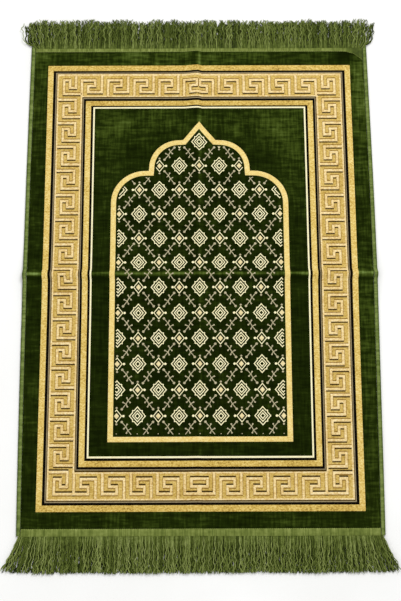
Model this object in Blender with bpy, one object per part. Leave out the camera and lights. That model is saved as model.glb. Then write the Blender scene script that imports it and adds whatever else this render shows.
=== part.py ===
"""A velvet prayer rug lying open: the woven panel, its two bound sides and a fringe on each end.

Metres, +Z up. The origin is on the floor, under the middle of the whole rug, and +Y points
along the rug to the end at which the woven arch has its tip.
The panel has been folded in four, so it keeps a ridge across its middle and one along it.
"""
import math
import random

import bmesh
import bpy

# Driving dimensions
PANEL_LENGTH = 1.000        # woven cloth, under the fringe's tape at both ends
PANEL_CENTRE_Y = 0.007      # the far fringe is the shorter one, so the panel sits off centre
PANEL_THICKNESS = 0.004     # backing and pile together
END_WIDTH = 0.674           # over the bindings, at the ends
MIDDLE_WIDTH = 0.680        # the same at mid length, where no tape draws the cloth in
BINDING_WIDTH = 0.0105      # yarn-wrapped cord along each side
BINDING_HEIGHT = 0.0052
GAP = 0.0003                # between pieces that touch

TAPE_WIDTH = 0.0120         # the fringe's woven heading, sewn on top of the cloth's end
TAPE_THICKNESS = 0.0015
TAPE_OVERHANG = 0.0015      # how far the heading runs past the cloth's end
TUFT_COUNT = 38             # bunches of strands along one end
TUFT_HEIGHT = 0.0045        # of a bunch where it reaches the floor
FRINGE_SPREAD = 0.361       # how far out the outermost bunches lie
SEED = 11

FLAT_STEP = 0.050           # between sections where the cloth lies flat
SWELL_STEP = 0.015          # beside a crest
CREST_STEP = 0.005          # over a crest

# The two fold ridges: heights above the floor, and half widths on the floor
CROSS_FOLD_Y = 0.0145
CROSS_CREST = dict(height=0.0045, half_width=0.014)
CROSS_SWELL = dict(height=0.0040, half_width=0.075)
LONG_FOLD_X = -0.003
LONG_FOLD_LEFT = 0.030      # a slow rise on the left of the crest
LONG_FOLD_RIGHT = 0.010     # and a short fall on its right
LONG_FOLD_HEIGHTS = (       # the ridge is highest at the far end
    dict(y=-0.493, height=0.0014),
    dict(y=-0.200, height=0.0010),
    dict(y=0.015, height=0.0014),
    dict(y=0.300, height=0.0030),
    dict(y=0.507, height=0.0048),
)

# One row for each end: the way the fringe points, how far its tips reach from the panel,
# the part of its pitch that the open gap takes at the tips, and how its bunches vary
FRINGES = (
    dict(node="fringe_far", sign=1, reach=0.0560, tip_gap=0.26, sway=0.0022, uneven=0.0035,
         flare=True),
    dict(node="fringe_near", sign=-1, reach=0.0700, tip_gap=0.14, sway=0.0016, uneven=0.0030,
         flare=False),
)

# Sections along a bunch: how far out it is as a share of the reach, its underside and its
# top above the floor or, at the root, above the cloth, and how much it has spread and parted
TUFT_SECTIONS = (
    dict(out=-0.06, low=0.0050, high=0.0062, on_cloth=1.0, spread=0.0, part=0.0),
    dict(out=0.06, low=0.0050, high=0.0066, on_cloth=1.0, spread=0.06, part=0.05),
    dict(out=0.20, low=0.0016, high=0.0062, on_cloth=0.6, spread=0.35, part=0.15),
    dict(out=0.40, low=0.0, high=0.0050, on_cloth=0.0, spread=0.68, part=0.40),
    dict(out=0.72, low=0.0, high=0.0044, on_cloth=0.0, spread=0.90, part=0.75),
    dict(out=1.00, low=0.0, high=0.0024, on_cloth=0.0, spread=1.00, part=1.00),
)

# How far the far heading widens onto the cloth as it nears the right-hand binding
HEADING_FLARE = (
    dict(from_edge=0.000, widening=0.0200),
    dict(from_edge=0.008, widening=0.0130),
    dict(from_edge=0.018, widening=0.0050),
    dict(from_edge=0.032, widening=0.0010),
    dict(from_edge=0.044, widening=0.0),
)

COLOURS = dict(
    velvet=(0.012, 0.022, 0.004),
    binding=(0.180, 0.245, 0.085),
    fringe=(0.140, 0.185, 0.060),
)


def interpolate(rows, key, value, at):
    """Read a value between the rows of a table that rises in its key column."""
    if at <= rows[0][key]:
        return rows[0][value]
    for low, high in zip(rows, rows[1:]):
        if at <= high[key]:
            share = (at - low[key]) / (high[key] - low[key])
            return low[value] + share * (high[value] - low[value])
    return rows[-1][value]


def ridge(distance, half_width):
    """A soft ridge's height, from 1 at its crest to 0 at its half width and beyond."""
    if abs(distance) >= half_width:
        return 0.0
    return math.cos(0.5 * math.pi * distance / half_width) ** 2


def lift(x, y):
    """Height of the cloth's underside above the floor."""
    across = y - CROSS_FOLD_Y
    cross = sum(part["height"] * ridge(across, part["half_width"])
                for part in (CROSS_CREST, CROSS_SWELL))
    along = x - LONG_FOLD_X
    reach = LONG_FOLD_LEFT if along < 0.0 else LONG_FOLD_RIGHT
    lengthwise = interpolate(LONG_FOLD_HEIGHTS, "y", "height", y) * ridge(along, reach)
    return max(cross, lengthwise) + 0.35 * min(cross, lengthwise)


def half_width(y):
    """Half the rug's width over its bindings."""
    share = (y - PANEL_CENTRE_Y) / (0.5 * PANEL_LENGTH)
    return 0.5 * (END_WIDTH + (MIDDLE_WIDTH - END_WIDTH) * (1.0 - min(1.0, share * share)))


def panel_half_width(y):
    """Half the width of the woven panel, inside its bindings."""
    return half_width(y) - BINDING_WIDTH - GAP


def stations(start, zones):
    """Places along a line: each zone runs to its own end in even steps of about its own size."""
    places = [start]
    for end, step in zones:
        begin = places[-1]
        count = max(1, math.ceil((end - begin) / step - 0.01))
        places += [begin + (end - begin) * i / count for i in range(1, count + 1)]
    return places


def rows_along():
    """Stations along the rug, close together over the cross ridge."""
    start = PANEL_CENTRE_Y - 0.5 * PANEL_LENGTH
    swell = CROSS_SWELL["half_width"]
    crest = CROSS_CREST["half_width"]
    return stations(start, (
        (CROSS_FOLD_Y - swell, FLAT_STEP),
        (CROSS_FOLD_Y - crest, SWELL_STEP),
        (CROSS_FOLD_Y + crest, CREST_STEP),
        (CROSS_FOLD_Y + swell, SWELL_STEP),
        (start + PANEL_LENGTH, FLAT_STEP),
    ))


def columns_across(y):
    """Stations across the panel at one place along it, close together over the long ridge."""
    half = panel_half_width(y)
    return stations(-half, (
        (LONG_FOLD_X - LONG_FOLD_LEFT, FLAT_STEP),
        (LONG_FOLD_X, CREST_STEP),
        (LONG_FOLD_X + LONG_FOLD_RIGHT, 0.7 * CREST_STEP),
        (half, FLAT_STEP),
    ))


def material(name, colour, roughness):
    """A plain cloth finish."""
    finish = bpy.data.materials.new(name)
    finish.use_nodes = True
    shader = finish.node_tree.nodes["Principled BSDF"]
    shader.inputs["Base Color"].default_value = (*colour, 1.0)
    shader.inputs["Roughness"].default_value = roughness
    shader.inputs["Metallic"].default_value = 0.0
    finish.diffuse_color = (*colour, 1.0)
    return finish


def new_object(name, mesh, collection, finish=None):
    """Link a mesh as an object of the collection."""
    thing = bpy.data.objects.new(name, mesh)
    collection.objects.link(thing)
    if finish:
        mesh.materials.append(finish)
    return thing


def loft(bm, rings):
    """Skin a closed solid over a row of rings that all have the same number of points."""
    rows = [[bm.verts.new(point) for point in ring] for ring in rings]
    count = len(rows[0])
    for here, after in zip(rows, rows[1:]):
        for i in range(count):
            j = (i + 1) % count
            bm.faces.new((here[i], here[j], after[j], after[i]))
    bm.faces.new(list(reversed(rows[0])))
    bm.faces.new(rows[-1])


def finished_mesh(name, bm):
    """Turn a bmesh of closed skins into a mesh with its faces pointing out."""
    bmesh.ops.recalc_face_normals(bm, faces=bm.faces)
    mesh = bpy.data.meshes.new(name)
    bm.to_mesh(mesh)
    bm.free()
    return mesh


def make_panel(collection, finish):
    """The woven panel: one sheet over both ridges, thickened upwards from its underside."""
    rows = rows_along()
    across = len(columns_across(PANEL_CENTRE_Y)) - 1
    along = len(rows) - 1
    bm = bmesh.new()
    bmesh.ops.create_grid(bm, x_segments=across, y_segments=along, size=0.5)
    for vert in bm.verts:
        y = rows[round((vert.co.y + 0.5) * along)]
        x = columns_across(y)[round((vert.co.x + 0.5) * across)]
        vert.co = (x, y, lift(x, y))
    under = list(bm.faces)
    pile = bmesh.ops.extrude_face_region(bm, geom=under, use_keep_orig=True)
    raised = [part for part in pile["geom"] if isinstance(part, bmesh.types.BMVert)]
    bmesh.ops.translate(bm, verts=raised, vec=(0.0, 0.0, PANEL_THICKNESS))
    return new_object("rug_body", finished_mesh("rug_body", bm), collection, finish)


def make_binding(name, side, collection, finish):
    """The wrapped cord along one side: a flattened round section lofted along the edge."""
    points = 8
    rings = []
    for y in rows_along():
        middle = half_width(y) - 0.5 * BINDING_WIDTH
        base = lift(side * middle, y) + 0.5 * BINDING_HEIGHT
        ring = []
        for i in range(points):
            turn = 2.0 * math.pi * (i + 0.5) / points
            wide = 0.5 * BINDING_WIDTH * math.cos(turn) / math.cos(math.pi / points)
            high = 0.5 * BINDING_HEIGHT * math.sin(turn) / math.cos(math.pi / points)
            ring.append((side * (middle + wide), y, base + high))
        rings.append(ring)
    bm = bmesh.new()
    loft(bm, rings)
    return new_object(name, finished_mesh(name, bm), collection, finish)


def heading_rings(fringe):
    """Sections of the heading tape, which lies on the cloth between the two bindings."""
    end = PANEL_CENTRE_Y + fringe["sign"] * 0.5 * PANEL_LENGTH
    half = panel_half_width(end) - GAP
    places = columns_across(end)[1:-1] + [-half, half]
    if fringe["flare"]:
        places += [half - row["from_edge"] for row in HEADING_FLARE[1:]]
    sections = []
    for x in sorted(places):
        widening = 0.0
        if fringe["flare"]:
            widening = interpolate(HEADING_FLARE, "from_edge", "widening", half - x)
        outer = end + fringe["sign"] * TAPE_OVERHANG
        inner = end - fringe["sign"] * (TAPE_WIDTH + widening)
        low = lift(x, end) + PANEL_THICKNESS + GAP
        high = low + TAPE_THICKNESS
        sections.append([(x, inner, low), (x, outer, low), (x, outer, high), (x, inner, high)])
    return sections


def tuft_edges(fringe, shuffle):
    """Lines between bunches: where each starts on the heading and where its tips end."""
    end = PANEL_CENTRE_Y + fringe["sign"] * 0.5 * PANEL_LENGTH
    half = panel_half_width(end) - 2.0 * GAP
    edges = []
    for i in range(TUFT_COUNT + 1):
        share = 2.0 * i / TUFT_COUNT - 1.0
        root = share * half + LONG_FOLD_X * (1.0 - abs(share))
        splay = (FRINGE_SPREAD - half) * abs(share) ** 7 * math.copysign(1.0, share)
        inside = 0 < i < TUFT_COUNT
        sway = shuffle.uniform(-1.0, 1.0) * fringe["sway"] if inside else 0.0
        edges.append(dict(root=root, tip=root + splay + sway))
    return edges


def make_fringe(fringe, collection, cutters, finish):
    """One end's fringe: the heading tape and its bunches of strands, joined as one comb."""
    shuffle = random.Random(SEED + fringe["sign"])
    end = PANEL_CENTRE_Y + fringe["sign"] * 0.5 * PANEL_LENGTH
    edges = tuft_edges(fringe, shuffle)
    pitch = edges[1]["root"] - edges[0]["root"]
    bm = bmesh.new()
    for i, (left, right) in enumerate(zip(edges, edges[1:])):
        corner = i in (0, TUFT_COUNT - 1)
        reach = fringe["reach"] - (0.0 if i % 5 == 2 else shuffle.uniform(0.0, fringe["uneven"]))
        reach *= 0.86 if corner else 1.0
        rings = []
        for section in TUFT_SECTIONS:
            gap = pitch * (0.04 + fringe["tip_gap"] * section["part"])
            low_x = left["root"] + section["spread"] * (left["tip"] - left["root"]) + 0.5 * gap
            high_x = right["root"] + section["spread"] * (right["tip"] - right["root"]) - 0.5 * gap
            y = end + fringe["sign"] * section["out"] * reach
            low_lift = section["on_cloth"] * lift(low_x, end)
            high_lift = section["on_cloth"] * lift(high_x, end)
            slope = 0.12 * (high_x - low_x)
            rings.append([
                (low_x, y, section["low"] + low_lift),
                (high_x, y, section["low"] + high_lift),
                (high_x - slope, y, section["high"] + high_lift),
                (low_x + slope, y, section["high"] + low_lift),
            ])
        loft(bm, rings)
    name = fringe["node"]
    tufts = new_object(name + "_bunches", finished_mesh(name + "_bunches", bm), cutters)
    tufts.hide_render = True
    tufts.display_type = "WIRE"
    bm = bmesh.new()
    loft(bm, heading_rings(fringe))
    comb = new_object(name, finished_mesh(name, bm), collection, finish)
    join = comb.modifiers.new("Bunches", "BOOLEAN")
    join.operation = "UNION"
    join.solver = "EXACT"
    join.object = tufts
    return comb


def main():
    for thing in list(bpy.data.objects):
        bpy.data.objects.remove(thing, do_unlink=True)
    rug = bpy.data.collections.new("prayer_rug")
    cutters = bpy.data.collections.new("cutters")
    bpy.context.scene.collection.children.link(rug)
    bpy.context.scene.collection.children.link(cutters)
    velvet = material("velvet", COLOURS["velvet"], 0.90)
    binding = material("binding", COLOURS["binding"], 0.85)
    yarn = material("fringe_yarn", COLOURS["fringe"], 0.85)
    make_panel(rug, velvet)
    make_binding("binding_left", -1, rug, binding)
    make_binding("binding_right", 1, rug, binding)
    for fringe in FRINGES:
        make_fringe(fringe, rug, cutters, yarn)


main()
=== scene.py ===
# A velvet prayer rug lying open: a dark pile cloth with a woven key border, an arch and a lattice
# of small motifs, yarn-bound sides, and a corded fringe with its heading tape on each end.
# Metres, +Z up. The imported cloth solid sets where the cloth lies, and the bindings and fringes are placed
# from it.
import math
import random

import bpy
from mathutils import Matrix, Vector


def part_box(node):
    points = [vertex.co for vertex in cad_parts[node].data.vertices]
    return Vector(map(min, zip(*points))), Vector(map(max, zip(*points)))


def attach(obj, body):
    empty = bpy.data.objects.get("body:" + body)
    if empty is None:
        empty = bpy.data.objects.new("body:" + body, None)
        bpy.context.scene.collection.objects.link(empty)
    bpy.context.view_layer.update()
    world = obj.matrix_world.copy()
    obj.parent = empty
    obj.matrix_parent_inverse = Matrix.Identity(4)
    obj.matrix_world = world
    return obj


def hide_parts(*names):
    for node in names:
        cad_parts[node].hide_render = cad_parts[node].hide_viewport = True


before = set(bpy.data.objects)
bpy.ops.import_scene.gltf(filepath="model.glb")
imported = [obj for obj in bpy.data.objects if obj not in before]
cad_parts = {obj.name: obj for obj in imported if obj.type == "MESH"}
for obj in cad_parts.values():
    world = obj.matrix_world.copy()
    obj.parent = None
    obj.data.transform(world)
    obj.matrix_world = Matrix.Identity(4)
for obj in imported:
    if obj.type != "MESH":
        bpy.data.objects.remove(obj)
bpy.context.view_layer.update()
clothLow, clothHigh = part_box("rug_body")
print("frame loaded")

# How the cloth lies

cloth = {
    "centreY": 0.5 * (clothLow.y + clothHigh.y),
    "halfLength": 0.5 * (clothHigh.y - clothLow.y),
    "thickness": 0.0040,          # backing and pile
    "endWidth": 0.674,            # over the bindings
    "middleWidth": 0.680,
    "bindingWidth": 0.0082,       # as it shows, because the pile stands over its inner edge
    "gap": 0.0003,                # between pieces that touch
}

# The cloth was folded in four, so a ridge runs across its middle and one along it
folds = {
    "crossY": 0.0145,
    "crest": {"height": 0.0045, "reach": 0.014},
    "swell": {"height": 0.0040, "reach": 0.075},
    "longX": -0.003,
    "longLeft": 0.030,            # a slow rise on the left of the crest
    "longRight": 0.010,           # and a short fall on its right
    "longHeights": ((-0.493, 0.0014), (-0.200, 0.0010), (0.015, 0.0014), (0.300, 0.0030), (0.507, 0.0048)),
    "crossing": 0.35,             # share of the lower fold that adds to the higher one
    "bow": 0.0012, "bowX": 0.28, "bowY": 0.10, "bowReach": 0.40,   # of the right side, as at bowX
    "crestSpread": 0.0034,        # of the weave over the crest, as a share of x
    "longStep": 0.0018, "crossStep": 0.0022, "crossMargin": 0.008,   # stations of the yarn over a fold
}


def readTable(rows, at):
    # straight lines between (place, value) rows
    if at <= rows[0][0]:
        return rows[0][1]
    for (lowAt, low), (highAt, high) in zip(rows, rows[1:]):
        if at <= highAt:
            return low + (high - low) * (at - lowAt) / (highAt - lowAt)
    return rows[-1][1]


def ridge(distance, reach):
    if abs(distance) >= reach:
        return 0.0
    return math.cos(0.5 * math.pi * distance / reach) ** 2


def underside(x, y):
    # height of the cloth's underside above the floor
    across = y - folds["crossY"]
    cross = sum(part["height"] * ridge(across, part["reach"]) for part in (folds["crest"], folds["swell"]))
    along = x - folds["longX"]
    reach = folds["longLeft"] if along < 0.0 else folds["longRight"]
    lengthwise = readTable(folds["longHeights"], y) * ridge(along, reach)
    return max(cross, lengthwise) + folds["crossing"] * min(cross, lengthwise)


def pileTop(x, y):
    return underside(x, y) + cloth["thickness"]


def halfWidth(y):
    # half the width over the bindings, which is a little less at the ends
    share = (y - cloth["centreY"]) / cloth["halfLength"]
    swelling = cloth["middleWidth"] - cloth["endWidth"]
    return 0.5 * (cloth["endWidth"] + swelling * (1.0 - min(1.0, share * share)))


def clothHalfWidth(y):
    return halfWidth(y) - cloth["bindingWidth"] - cloth["gap"]


def stepAt(x, y, step):
    # stations stand closer together over the two folds, from one long step before them
    if folds["longX"] - folds["longLeft"] - step < x < folds["longX"] + folds["longRight"] + step:
        step = min(step, folds["longStep"])
    if abs(y - folds["crossY"]) < folds["crest"]["reach"] + folds["crossMargin"]:
        step = min(step, folds["crossStep"])
    return step


def stations(start, zones):
    # each zone runs to its own end in even steps of about its own size
    places = [start]
    for end, step in zones:
        begin = places[-1]
        count = max(1, math.ceil((end - begin) / step - 0.01))
        places += [begin + (end - begin) * i / count for i in range(1, count + 1)]
    return places


# Making meshes

def newHeap():
    return {"points": [], "faces": [], "tones": []}


def addSkin(heap, rings, closed=False, tone=0.0):
    # a tube of quads through rings of equal size, capped where it doesn't close on itself
    base = len(heap["points"])
    size = len(rings[0])
    for ring in rings:
        heap["points"] += ring
        heap["tones"] += [tone] * size
    count = len(rings)
    for row in range(count if closed else count - 1):
        here = base + row * size
        after = base + ((row + 1) % count) * size
        for i in range(size):
            j = (i + 1) % size
            heap["faces"].append((here + i, here + j, after + j, after + i))
    if not closed:
        heap["faces"].append(tuple(base + i for i in reversed(range(size))))
        last = base + (count - 1) * size
        heap["faces"].append(tuple(last + i for i in range(size)))


def lie(point):
    # the rug's right side bows out a little, and the weave spreads over the cross fold
    x, y, z = point
    bow = folds["bow"] * max(0.0, x) / folds["bowX"] * ridge(y - folds["bowY"], folds["bowReach"])
    spread = folds["crestSpread"] * x * ridge(y - folds["crossY"], folds["crest"]["reach"])
    return (x + bow + spread, y, z)


def makePiece(name, heap, finish):
    mesh = bpy.data.meshes.new(name)
    mesh.from_pydata([lie(point) for point in heap["points"]], [], heap["faces"])
    tones = mesh.attributes.new("tone", "FLOAT", "POINT")
    tones.data.foreach_set("value", heap["tones"])
    mesh.materials.append(finish)
    mesh.validate()
    mesh.shade_smooth()
    mesh.set_sharp_from_angle(angle=math.radians(50))
    piece = bpy.data.objects.new(name, mesh)
    bpy.context.scene.collection.objects.link(piece)
    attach(piece, "root")
    print(name, "made of", sum(len(face) - 2 for face in heap["faces"]), "triangles")
    return piece


def fromCentre(x, y):
    # the weave is measured from the middle of the cloth
    return Vector((x, cloth["centreY"] + y))


def meetingOffset(normalA, halfA, normalB, halfB):
    # the corner at which the edges of two legs meet
    turn = normalA.x * normalB.y - normalA.y * normalB.x
    if abs(turn) < 0.06:
        return (normalA + normalB).normalized() * 0.5 * (halfA + halfB)
    x = (halfA * normalB.y - halfB * normalA.y) / turn
    y = (halfB * normalA.x - halfA * normalB.x) / turn
    return Vector((x, y))


# How raised yarn stands on the pile
relief = {"sink": 0.0006, "shoulder": 0.0009, "leastShoulder": 0.55, "leastStep": 0.0012}


def addYarnBand(heap, path, halves, rise, closed=False, step=0.008):
    # a raised band of yarn along a path on the pile, its corners mitred; halves holds half its
    # width, or one half width for each leg of the path
    ends = path[1:] + path[:1] if closed else path[1:]
    legs = list(zip(path, ends))
    if not isinstance(halves, (list, tuple)):
        halves = [halves] * len(legs)
    normals = []
    for start, end in legs:
        along = (end - start).normalized()
        normals.append(Vector((-along.y, along.x)))
    spots = []
    for i, (start, end) in enumerate(legs):
        if i > 0 or closed:
            offset = meetingOffset(normals[i - 1], halves[i - 1], normals[i], halves[i])
        else:
            offset = normals[i] * halves[i]
        spots.append((start, offset))
        length = (end - start).length
        at = 0.0
        while True:
            here = start + (end - start) * (at / length)
            at += max(stepAt(here.x, here.y, step), relief["leastStep"])
            if at > length - max(1.2 * halves[i], 0.6 * step):
                break
            if at > 1.2 * halves[i]:
                spots.append((start + (end - start) * (at / length), normals[i] * halves[i]))
    if not closed:
        spots.append((path[-1], normals[-1] * halves[-1]))
    rings = []
    for spot, offset in spots:
        width = max(offset.length, 1e-6)
        shoulder = max(relief["leastShoulder"], 1.0 - relief["shoulder"] / width)
        ring = []
        for side, level in ((-1, -relief["sink"]), (-1, 0.5 * rise), (-shoulder, rise),
                            (shoulder, rise), (1, 0.5 * rise), (1, -relief["sink"])):
            x = spot.x + side * offset.x
            y = spot.y + side * offset.y
            ring.append((x, y, pileTop(x, y) + level))
        rings.append(ring)
    addSkin(heap, rings, closed)


def addKnot(heap, centre, halfX, halfY, rise, corners=6):
    # a small raised dot of yarn: a low dome with a few sides
    rings = []
    for share, level in ((1.0, -relief["sink"]), (1.0, 0.45 * rise), (0.62, rise), (0.12, rise * 1.08)):
        ring = []
        for i in range(corners):
            angle = 2.0 * math.pi * i / corners
            x = centre.x + share * halfX * math.cos(angle)
            y = centre.y + share * halfY * math.sin(angle)
            ring.append((x, y, pileTop(x, y) + level))
        rings.append(ring)
    addSkin(heap, rings)


# Finishes

fullTurn = 6.2832
weave = {"pitchAcross": 0.0016, "pitchAlong": 0.0012, "depth": 0.0003, "roughness": 0.62, "toneShare": 0.14}


def colour(code):
    # a screen colour such as "dfbf70", as the linear values that a shader takes
    values = []
    for i in (0, 2, 4):
        value = int(code[i:i + 2], 16) / 255.0
        values.append(value / 12.92 if value <= 0.04045 else ((value + 0.055) / 1.055) ** 2.4)
    return (*values, 1.0)


def newGroup(name, inputs, outputs):
    group = bpy.data.node_groups.new(name, "ShaderNodeTree")
    for title, value in inputs.items():
        socket = group.interface.new_socket(title, in_out="INPUT", socket_type="NodeSocketFloat")
        socket.default_value = value
    for title in outputs:
        group.interface.new_socket(title, in_out="OUTPUT", socket_type="NodeSocketFloat")
    entry = group.nodes.new("NodeGroupInput")
    leave = group.nodes.new("NodeGroupOutput")
    return group, entry.outputs, leave.inputs


def addMath(tree, operation, first, second=None, third=None, clamp=False):
    node = tree.nodes.new("ShaderNodeMath")
    node.operation = operation
    node.use_clamp = clamp
    for socket, value in zip(node.inputs, (first, second, third)):
        if value is None:
            continue
        if isinstance(value, (int, float)):
            socket.default_value = value
        else:
            tree.links.new(value, socket)
    return node.outputs["Value"]


def addNoise(tree, place, scale, detail=3.0, roughness=0.55):
    noise = tree.nodes.new("ShaderNodeTexNoise")
    noise.inputs["Detail"].default_value = detail
    noise.inputs["Roughness"].default_value = roughness
    tree.links.new(place, noise.inputs["Vector"])
    if isinstance(scale, (int, float)):
        noise.inputs["Scale"].default_value = scale
    else:
        tree.links.new(scale, noise.inputs["Scale"])
    return noise.outputs["Fac"]


def addStretch(tree, scales):
    # object coordinates, stretched differently along each axis
    place = tree.nodes.new("ShaderNodeTexCoord")
    stretch = tree.nodes.new("ShaderNodeVectorMath")
    stretch.operation = "MULTIPLY"
    stretch.inputs[1].default_value = scales
    tree.links.new(place.outputs["Object"], stretch.inputs[0])
    return stretch.outputs["Vector"]


def splitPlace(tree):
    place = tree.nodes.new("ShaderNodeTexCoord")
    parts = tree.nodes.new("ShaderNodeSeparateXYZ")
    tree.links.new(place.outputs["Object"], parts.inputs["Vector"])
    return parts.outputs


def addWave(tree, turns):
    return addMath(tree, "SINE", addMath(tree, "MULTIPLY", turns, fullTurn))


def buildWovenRib():
    # flat woven yarn: ribs across and along, with the unevenness of hand and loom
    pitches = {"Pitch Across": weave["pitchAcross"], "Pitch Along": weave["pitchAlong"]}
    group, given, sent = newGroup("wovenRib", {**pitches, "Unevenness": 0.6}, ("Height", "Fleck"))
    parts = splitPlace(group)
    uneven = addNoise(group, addStretch(group, (1, 1, 1)), 260.0, 2.0)
    jitter = addMath(group, "MULTIPLY", uneven, given["Unevenness"])
    turns = [addMath(group, "DIVIDE", parts[axis], given[pitch]) for axis, pitch in zip("XY", pitches)]
    waves = [addWave(group, addMath(group, "ADD", turn, jitter)) for turn in turns]
    product = addMath(group, "MULTIPLY", *waves)
    group.links.new(addMath(group, "MULTIPLY_ADD", product, 0.5, 0.5), sent["Height"])
    fine = addNoise(group, addStretch(group, (1.0, 1.35, 1.0)), 260.0, 3.0, 0.75)
    group.links.new(addMath(group, "MULTIPLY_ADD", fine, 2.6, -0.8, clamp=True), sent["Fleck"])
    return group


def buildNapStreaksAndSheen():
    # cut pile with its nap laid one way and another: long streaks across the cloth and broad soft patches; its
    # Tone brings the pile's painted sheen, highlights and shades
    shares = {"Tone": 0.0, "Streaks": 0.35, "Patches": 0.25, "Mottle": 0.3}
    group, given, sent = newGroup("napStreaksAndSheen", shares, ("Light", "Height"))
    acrossStreak = addNoise(group, addStretch(group, (28.0, 170.0, 26.0)), 1.0, 4.0, 0.6)
    alongStreak = addNoise(group, addStretch(group, (230.0, 20.0, 26.0)), 1.0, 3.0, 0.6)
    streak = addMath(group, "MULTIPLY_ADD", alongStreak, 0.45, addMath(group, "MULTIPLY", acrossStreak, 0.55))
    patch = addNoise(group, addStretch(group, (9.0, 11.0, 9.0)), 1.0, 2.0, 0.5)
    mottle = addNoise(group, addStretch(group, (34.0, 46.0, 34.0)), 1.0, 3.0, 0.65)
    tuft = addNoise(group, addStretch(group, (1.0, 1.0, 1.0)), 900.0, 2.0, 0.7)
    lifts = [addMath(group, "MULTIPLY", addMath(group, "SUBTRACT", noise, 0.5), given[title])
             for title, noise in (("Streaks", streak), ("Patches", patch), ("Mottle", mottle))]
    both = addMath(group, "ADD", addMath(group, "ADD", lifts[0], lifts[1]), lifts[2])
    # a place made lighter by painted sheen and highlights shows its streaks more than a dark one
    scaled = addMath(group, "MULTIPLY", both, addMath(group, "MULTIPLY_ADD", given["Tone"], 2.5, 0.9))
    fine = addMath(group, "MULTIPLY_ADD", tuft, 0.16, -0.08)
    light = addMath(group, "ADD", addMath(group, "ADD", given["Tone"], scaled), fine, clamp=True)
    group.links.new(light, sent["Light"])
    group.links.new(addMath(group, "MULTIPLY_ADD", streak, 0.6, tuft), sent["Height"])
    return group


def buildCordTwist():
    # plied yarn: slanting turns along a cord or a wrapped edge
    turning = {"Pitch": 0.0022, "Slant": 0.8, "Fuzz": 0.5}
    group, given, sent = newGroup("cordTwist", turning, ("Height", "Shade"))
    parts = splitPlace(group)
    slanted = addMath(group, "MULTIPLY_ADD", parts["X"], given["Slant"], parts["Y"])
    turns = addMath(group, "DIVIDE", slanted, given["Pitch"])
    wave = addMath(group, "MULTIPLY_ADD", addWave(group, turns), 0.5, 0.5)
    hairs = addNoise(group, addStretch(group, (1, 1, 1)), 1400.0, 2.0)
    fuzz = addMath(group, "MULTIPLY", hairs, given["Fuzz"])
    group.links.new(addMath(group, "ADD", wave, fuzz), sent["Height"])
    patch = addNoise(group, addStretch(group, (1, 1, 1)), 120.0, 3.0, 0.6)
    group.links.new(addMath(group, "MULTIPLY_ADD", patch, 2.0, -0.5, clamp=True), sent["Shade"])
    return group


wovenRib = buildWovenRib()
napStreaksAndSheen = buildNapStreaksAndSheen()
cordTwist = buildCordTwist()


def newFinish(name, roughness, sheen=0.0, sheenTint="ffffff", sheenRoughness=0.5, specular=0.3):
    finish = bpy.data.materials.new(name)
    finish.use_nodes = True
    tree = finish.node_tree
    shader = tree.nodes["Principled BSDF"]
    shader.inputs["Roughness"].default_value = roughness
    shader.inputs["Metallic"].default_value = 0.0
    shader.inputs["Specular IOR Level"].default_value = specular
    shader.inputs["Sheen Weight"].default_value = sheen
    shader.inputs["Sheen Roughness"].default_value = sheenRoughness
    shader.inputs["Sheen Tint"].default_value = colour(sheenTint)
    return finish, tree, shader


def placeGroup(tree, group, values):
    node = tree.nodes.new("ShaderNodeGroup")
    node.node_tree = group
    for title, value in values.items():
        if isinstance(value, (int, float)):
            node.inputs[title].default_value = value
        else:
            tree.links.new(value, node.inputs[title])
    return node.outputs


def addRamp(tree, amount, stops):
    ramp = tree.nodes.new("ShaderNodeValToRGB")
    band = ramp.color_ramp
    while len(band.elements) < len(stops):
        band.elements.new(0.5)
    for element, (place, code) in zip(band.elements, stops):
        element.position = place
        element.color = colour(code)
    tree.links.new(amount, ramp.inputs["Fac"])
    return ramp.outputs["Color"]


def addColourAndBump(tree, shader, amount, stops, height, strength, depth):
    tree.links.new(addRamp(tree, amount, stops), shader.inputs["Base Color"])
    bump = tree.nodes.new("ShaderNodeBump")
    bump.inputs["Strength"].default_value = strength
    bump.inputs["Distance"].default_value = depth
    tree.links.new(height, bump.inputs["Height"])
    tree.links.new(bump.outputs["Normal"], shader.inputs["Normal"])


def readTone(tree):
    attribute = tree.nodes.new("ShaderNodeAttribute")
    attribute.attribute_name = "tone"
    return attribute.outputs["Fac"]


def makeVelvetFinish():
    finish, tree, shader = newFinish("velvetPile", 0.90, sheen=0.10, sheenTint="5f8038", sheenRoughness=0.40,
                                     specular=0.02)
    # Tone carries the pile's painted sheen, highlights and shades from the mesh
    brushing = {"Tone": readTone(tree), "Streaks": 0.90, "Patches": 0.26, "Mottle": 0.34}
    nap = placeGroup(tree, napStreaksAndSheen, brushing)
    stops = ((0.0, "101801"), (0.22, "1d2805"), (0.45, "384613"), (0.72, "56662b"), (1.0, "778b4a"))
    addColourAndBump(tree, shader, nap["Light"], stops, nap["Height"], 0.55, 0.0006)
    return finish


def makeWovenFinish(name, stops, sheen=0.06, specular=0.25):
    finish, tree, shader = newFinish(name, weave["roughness"], sheen=sheen, specular=specular)
    rib = placeGroup(tree, wovenRib, {"Unevenness": 0.5})
    worn = addNoise(tree, addStretch(tree, (1, 1, 1)), 30.0, 3.0)
    mixed = addMath(tree, "MULTIPLY_ADD", rib["Height"], 0.22, addMath(tree, "MULTIPLY", rib["Fleck"], 0.58))
    toned = addMath(tree, "MULTIPLY_ADD", readTone(tree), weave["toneShare"], mixed)
    amount = addMath(tree, "MULTIPLY_ADD", worn, 0.40, toned, clamp=True)
    addColourAndBump(tree, shader, amount, stops, rib["Height"], 0.5, weave["depth"])
    return finish


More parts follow.
